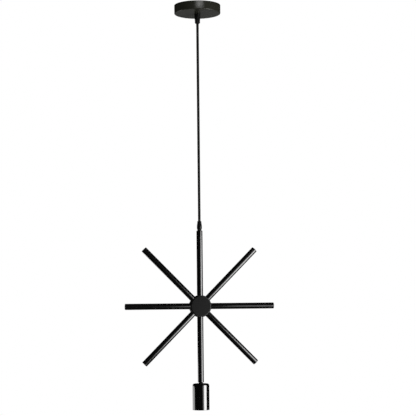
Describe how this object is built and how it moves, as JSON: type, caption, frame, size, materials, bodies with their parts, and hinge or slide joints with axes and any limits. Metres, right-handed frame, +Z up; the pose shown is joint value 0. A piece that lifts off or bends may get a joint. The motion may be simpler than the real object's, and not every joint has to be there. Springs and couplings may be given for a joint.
{
  "type": "star pendant light",
  "caption": "Ceiling pendant: round canopy, straight cord with two cord grips, flat star frame of round tubes on a disc hub, screw lamp holder below.",
  "frame": {"origin": "centre of the canopy in the ceiling plane", "axes": "+Z up to the ceiling, the light hangs along -Z, the star lies in the XZ plane and its front faces -Y"},
  "size_m": [0.35, 0.108, 0.9403],
  "materials": {
    "canopy_paint": "satin black",
    "gloss_black_paint": "gloss black lacquer",
    "matt_black_paint": "matt",
    "black_plastic": "moulded",
    "natural_plastic": "moulded",
    "cord_sheath": "fine matt braid",
    "brown_insulation": "smooth",
    "blue_insulation": "smooth",
    "green_insulation": "smooth",
    "plated_steel": "zinc plated",
    "black_steel": "blackened",
    "plain_brass": "plain",
    "glazed_insulator": "glazed"
  },
  "bodies": {
    "canopy": {"canopy_cup": "canopy_paint", "ceiling_bracket": "plated_steel", "canopy_nipple": "plated_steel", "bracket_lock_nuts": "plated_steel", "canopy_grip_base": "black_plastic", "canopy_grip_collet": "natural_plastic", "canopy_grip_nut": "black_plastic", "canopy_cord_tail": "cord_sheath", "terminal_block": "natural_plastic", "terminal_barrels": "plain_brass", "terminal_block_screws": "plated_steel", "bracket_earth_screw": "plated_steel", "bracket_earth_lug": "plated_steel", "canopy_live_core": "brown_insulation", "canopy_neutral_core": "blue_insulation", "canopy_earth_core": "green_insulation"},
    "cord_pivot": {"cord_bend": "cord_sheath"},
    "cord": {"pendant_cord": "cord_sheath"},
    "star_frame": {"stem_grip_base": "black_plastic", "stem_grip_collet": "natural_plastic", "stem_grip_nut": "black_plastic", "stem_cord_end": "cord_sheath", "stem_nipple": "black_steel", "upper_stem": "gloss_black_paint", "lower_stem": "gloss_black_paint", "arm_e": "gloss_black_paint", "arm_ne": "gloss_black_paint", "arm_nw": "gloss_black_paint", "arm_w": "gloss_black_paint", "arm_sw": "gloss_black_paint", "arm_se": "gloss_black_paint", "arm_end_plugs": "gloss_black_paint", "tube_bushes": "plain_brass", "hub_nipples": "plated_steel", "hub_body": "gloss_black_paint", "hub_front_cover": "matt_black_paint", "hub_back_cover": "matt_black_paint", "front_cover_screws": "plated_steel", "back_cover_screws": "black_steel", "hub_earth_screw": "plated_steel", "hub_earth_lug": "plated_steel", "live_core": "brown_insulation", "neutral_core": "blue_insulation", "earth_core": "green_insulation", "holder_nipple": "black_steel", "holder_cup": "gloss_black_paint", "holder_lock_nut": "plated_steel", "socket_bracket": "plated_steel", "socket_bracket_screws": "plated_steel", "socket_body": "glazed_insulator", "screw_shell": "plain_brass", "contact_spring": "plated_steel", "live_terminal": "plain_brass", "neutral_terminal": "plain_brass", "holder_terminal_screws": "plated_steel"},
    "lamp_contact": {"centre_contact": "plain_brass"}
  },
  "joints": [
    {"name": "swing_side", "type": "hinge", "parent": "canopy", "child": "cord_pivot", "pos_m": [0, 0, -0.0463], "axis": [0, 1, 0], "range_deg": [-40, 40]},
    {"name": "swing_front", "type": "hinge", "parent": "cord_pivot", "child": "cord", "pos_m": [0, 0, -0.0463], "axis": [1, 0, 0], "range_deg": [-40, 40]},
    {"name": "frame_twist", "type": "hinge", "parent": "cord", "child": "star_frame", "pos_m": [0, 0, -0.507], "axis": [0, 0, 1], "range_deg": [-180, 180]},
    {"name": "contact_press", "type": "slide", "parent": "star_frame", "child": "lamp_contact", "axis": [0, 0, 1], "range_m": [0, 0.0015], "stiffness_N_per_m": 2000, "deforming": ["contact_spring"]}
  ]
}
